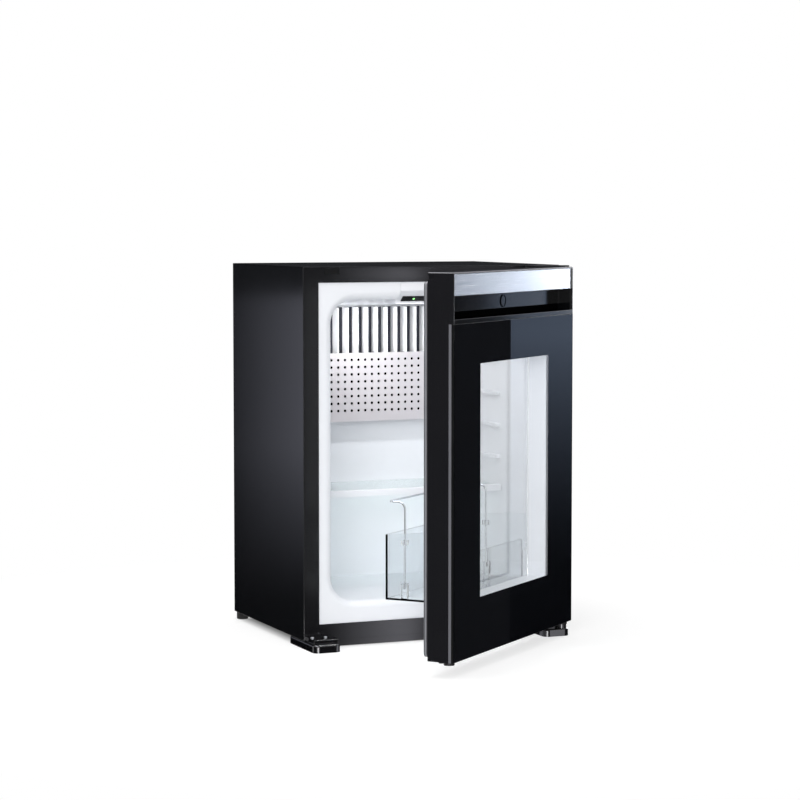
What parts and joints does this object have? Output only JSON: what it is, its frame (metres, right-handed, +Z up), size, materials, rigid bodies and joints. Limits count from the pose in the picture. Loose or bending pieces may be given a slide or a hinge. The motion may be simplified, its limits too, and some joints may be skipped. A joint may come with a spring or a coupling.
{
  "type": "minibar fridge",
  "caption": "Small black free-standing minibar fridge with a white lined cold room, a glass shelf, and a hinged black door with a tinted window, grip recess and clear bin.",
  "frame": {"origin": "on the floor, midway between the two floor-screw holes of the front feet", "axes": "+Z up, +Y from the front to the back of the cabinet, +X to the right seen from the front"},
  "size_m": [0.4147, 0.6096, 0.5545],
  "materials": {
    "black_coated_steel": "satin",
    "black_moulding": "satin",
    "black_gloss": "gloss",
    "white_liner": "satin",
    "housing_plastic": "satin",
    "insulation_foam": "matte",
    "fin_aluminium": "satin",
    "guard_aluminium": "satin",
    "shelf_glass": "polished",
    "tinted_glass": "polished",
    "printed_border": "satin",
    "carrier_aluminium": "satin",
    "strip_aluminium": "satin",
    "seal_rubber": "matte",
    "bush_plastic": "satin",
    "foot_rubber": "matte",
    "hinge_steel": "satin",
    "bright_steel": "satin",
    "bin_clear": "gloss",
    "guard_chrome": "polished",
    "unit_black_steel": "matte",
    "clip_zinc": "satin",
    "board_green": "satin",
    "led_green": "gloss",
    "lens_white": "gloss"
  },
  "bodies": {
    "cabinet": {"absorber_coil": "unit_black_steel", "absorber_vessel": "unit_black_steel", "back_panel": "black_coated_steel", "boiler_can": "unit_black_steel", "bottom_pan": "black_coated_steel", "condenser_fins": "fin_aluminium", "condenser_tube": "unit_black_steel", "control_board": "board_green", "control_housing": "housing_plastic", "control_strip": "black_gloss", "cooling_fins": "fin_aluminium", "fin_guard": "guard_aluminium", "foam_insulation": "insulation_foam", "foot_front_left": "black_gloss", "foot_front_right": "black_gloss", "foot_screws": "bright_steel", "front_frame": "black_moulding", "glass_shelf": "shelf_glass", "hinge_cap": "black_moulding", "inner_liner": "white_liner", "lamp_lens": "lens_white", "lower_hinge_pin": "bright_steel", "mains_inlet": "black_gloss", "plinth": "black_moulding", "rear_foot_left": "foot_rubber", "rear_foot_right": "foot_rubber", "shelf_trim": "white_liner", "side_panel_left": "black_coated_steel", "side_panel_right": "black_coated_steel", "status_led": "led_green", "terminal_box": "black_moulding", "top_hinge_pin": "bright_steel", "top_hinge_plate": "hinge_steel", "top_hinge_screws": "bright_steel", "top_panel": "black_coated_steel", "unit_clips": "clip_zinc"},
    "door": {"door_frame": "black_moulding", "glass_carrier": "carrier_aluminium", "door_glass_outer": "tinted_glass", "glass_mask": "printed_border", "door_glass_inner": "shelf_glass", "door_liner": "white_liner", "door_foam": "insulation_foam", "gasket": "seal_rubber", "handle_strip": "strip_aluminium", "handle_tub": "black_gloss", "grip_bar": "black_gloss", "lock_blank": "black_gloss", "hinge_bush_top": "bush_plastic", "hinge_bush_bottom": "bush_plastic", "spare_bush": "bush_plastic"},
    "bin": {"door_bin": "bin_clear", "bottle_guard": "guard_chrome"},
    "button": {"temperature_button": "black_gloss"}
  },
  "joints": [
    {"name": "door_hinge", "type": "hinge", "parent": "cabinet", "child": "door", "pos_m": [0.195, 0.003, 0], "axis": [0, 0, 1], "range_deg": [-40.3, 79.7]},
    {"name": "bin_lift", "type": "slide", "parent": "door", "child": "bin", "axis": [0, 0, 1], "range_m": [0, 0.022]},
    {"name": "temperature_button_push", "type": "slide", "parent": "cabinet", "child": "button", "axis": [0, 0.6247, 0.7809], "range_m": [0, 0.001], "stiffness_N_per_m": 400}
  ]
}
